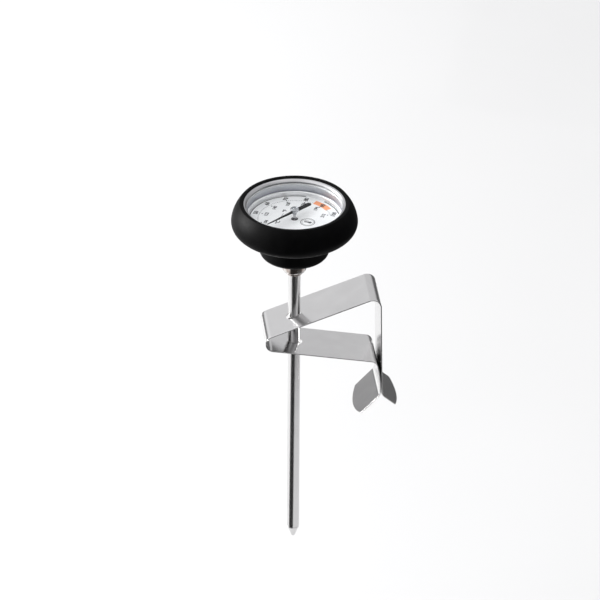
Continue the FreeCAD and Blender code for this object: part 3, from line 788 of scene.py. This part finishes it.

# ---------------------------------------------------------------- hidden works keep the CAD shape

# The bushes here carry the painted shade of the shaft hole.
for node, material in {
    "case_cup": case_steel, "lens_gasket": gasket, "upper_bush": bush, "lower_bush": bush,
    "coil_anchor": brass, "coil_collar": brass, "bimetal_coil": bimetal, "pointer_shaft": shaft_steel,
}.items():
    mesh = frame["nodes"][node].data
    mesh.materials.clear()
    mesh.materials.append(material)

# ---------------------------------------------------------------- floor, light and camera

FLOOR_GAP = 0.09
FLOOR_Z = cad_low.z - FLOOR_GAP
FLOOR_HALF = 6.0
MIDDLE = (cad_low + cad_high) / 2
bm = bmesh.new()
corners = [bm.verts.new((x * FLOOR_HALF, y * FLOOR_HALF, FLOOR_Z)) for x, y in
           ((-1, -1), (1, -1), (1, 1), (-1, 1))]
bm.faces.new(corners)
floor_mesh = bpy.data.meshes.new("floor")
bm.to_mesh(floor_mesh)
bm.free()
floor = bpy.data.objects.new("floor", floor_mesh)
bpy.context.scene.collection.objects.link(floor)
floor_paint = plain("pale_floor", (0.6, 0.6, 0.6), (0.62, 0.62, 0.62), 0.85, 0.95, 40, 0.0001, 0.05)
floor_mesh.materials.append(floor_paint.material)

# The sky is dim behind the camera and near the horizon, and brighter to the left. The steel mirrors it.
world = bpy.data.worlds.new("studio")
world.use_nodes = True
background = world.node_tree.nodes["Background"]
background.inputs["Color"].default_value = (0.985, 0.985, 1.0, 1.0)
tree = world.node_tree
sky = tree.nodes.new("ShaderNodeSeparateXYZ")
tree.links.new(tree.nodes.new("ShaderNodeTexCoord").outputs["Generated"], sky.inputs["Vector"])


def sky_step(source, start, end, low_value, high_value):
    """A soft step in the brightness of the sky."""
    node = tree.nodes.new("ShaderNodeMapRange")
    node.interpolation_type = "SMOOTHSTEP"
    for socket, value in (("From Min", start), ("From Max", end),
                          ("To Min", low_value), ("To Max", high_value)):
        node.inputs[socket].default_value = value
    tree.links.new(source, node.inputs["Value"])
    return node.outputs["Result"]


def sky_math(operation, first, second):
    """One sum on the sky's values. The second may be a number."""
    node = tree.nodes.new("ShaderNodeMath")
    node.operation = operation
    tree.links.new(first, node.inputs[0])
    if isinstance(second, float):
        node.inputs[1].default_value = second
    else:
        tree.links.new(second, node.inputs[1])
    return node.outputs["Value"]


lifted = sky_math("SUBTRACT", sky.outputs["Z"], sky_math("MULTIPLY", sky.outputs["X"], 0.05))
backward = sky_math("ADD", sky.outputs["Y"], sky_math("MULTIPLY", sky.outputs["Z"], 1.4))
behind = sky_step(backward, -0.7, 0.5, 0.04, 1.0)
above = sky_step(lifted, 0.08, 0.26, 0.18, 1.0)
side = sky_step(sky.outputs["X"], -0.55, -0.1, 1.15, 0.77)
tree.links.new(sky_math("MULTIPLY", sky_math("MULTIPLY", behind, above), side), background.inputs["Strength"])
bpy.context.scene.world = world


def softbox(name, place, aim, width, height, power):
    """A large soft light that faces a point of the object."""
    data = bpy.data.lights.new(name, "AREA")
    data.shape = "RECTANGLE"
    data.size = width
    data.size_y = height
    data.energy = power
    lamp = bpy.data.objects.new(name, data)
    lamp.location = place
    lamp.visible_camera = False
    lamp.rotation_euler = (Vector(place) - Vector(aim)).to_track_quat("Z", "Y").to_euler()
    bpy.context.scene.collection.objects.link(lamp)

BACK = Vector((-0.0937, -0.8484, 0.5210)).normalized()
CAMERA_RIGHT = Vector((0.9940, -0.1097, 0.0)).normalized()
TO_CAMERA = Vector((BACK.x, BACK.y, 0)).normalized()
CAMERA_DISTANCE = 1.6
CAMERA_ROLL = math.radians(0.32)
AIM_DEPTH = 39.8 * MM
AIM_RIGHT = 2.1 * MM
SECTOR_PARTS = 6


def floor_card(name, outline, shade, lift):
    """A card just over the floor that only mirrored light sees, to darken what the steel reflects. Its
    outline is in metres from the stem and degrees from the camera's side, to the right."""
    bm = bmesh.new()
    verts = []
    for distance, degrees in outline:
        a = math.radians(degrees)
        spot = (TO_CAMERA * math.cos(a) + CAMERA_RIGHT * math.sin(a)) * distance
        verts.append(bm.verts.new((AXIS_X + spot.x, AXIS_Y + spot.y, FLOOR_Z + lift)))
    bm.faces.new(verts)
    mesh = bpy.data.meshes.new(name)
    bm.to_mesh(mesh)
    bm.free()
    mesh.materials.append(plain(name, shade, shade, 0.9, 0.95, 40, 0.0001, 0.05, specular=0.0).material)
    card = bpy.data.objects.new(name, mesh)
    bpy.context.scene.collection.objects.link(card)
    for ray in ("camera", "diffuse", "shadow", "transmission", "volume_scatter"):
        setattr(card, "visible_" + ray, False)


def sector(near, far, first, last):
    """The outline of a ring sector, as distances and degrees."""
    turns = [first + (last - first) * i / SECTOR_PARTS for i in range(SECTOR_PARTS + 1)]
    return [(near, turn) for turn in turns] + [(far, turn) for turn in turns[::-1]]


floor_card("black_card", [
    (0.08, -96), (0.12, -86), (0.166, -75), (0.2246, -62), (0.275, -54), (0.326, -38), (0.45, -38),
    (0.8, -38), (0.8, 0), (0.8, 60), (0.45, 66), (0.326, 62), (0.275, 30), (0.2246, 14), (0.166, 5),
    (0.12, -5), (0.08, -15),
], (0.025, 0.025, 0.025), 0.009)
for k, (near, far, first, last, shade) in enumerate([
    (0.245, 0.275, 8, 150, 0.46), (0.275, 0.3, 14, 150, 0.3), (0.3, 0.36, 30, 150, 0.1),
    (0.36, 0.5, 40, 155, 0.08), (0.5, 5.5, 48, 172, 0.13), (0.42, 5.5, -60, -125, 0.02),
    (1.1, 5.5, 172, 235, 0.04),
]):
    floor_card("floor_card_%d" % k, sector(near, far, first, last), (shade, shade, shade), 0.003 + 0.0005 * k)
softbox("top_light", (-0.2, 0.1, 1.5), MIDDLE, 2.2, 2.2, 9)
softbox("left_light", (-1.25, 0.45, 0.33), MIDDLE, 0.5, 0.45, 36)

aim_point = Vector((AXIS_X, AXIS_Y, RIM_Z - AIM_DEPTH)) + CAMERA_RIGHT * AIM_RIGHT
camera_data = bpy.data.cameras.new("camera")
camera_data.lens = 268.0
camera_data.sensor_width = 36.0
camera_data.clip_start = 0.05
camera_data.clip_end = 30.0
camera = bpy.data.objects.new("camera", camera_data)
camera.location = aim_point + BACK * CAMERA_DISTANCE
camera.rotation_euler = (BACK.to_track_quat("Z", "Y") @ Quaternion((0, 0, 1), CAMERA_ROLL)).to_euler()
bpy.context.scene.collection.objects.link(camera)
bpy.context.scene.camera = camera
bpy.context.scene.view_settings.view_transform = "Standard"
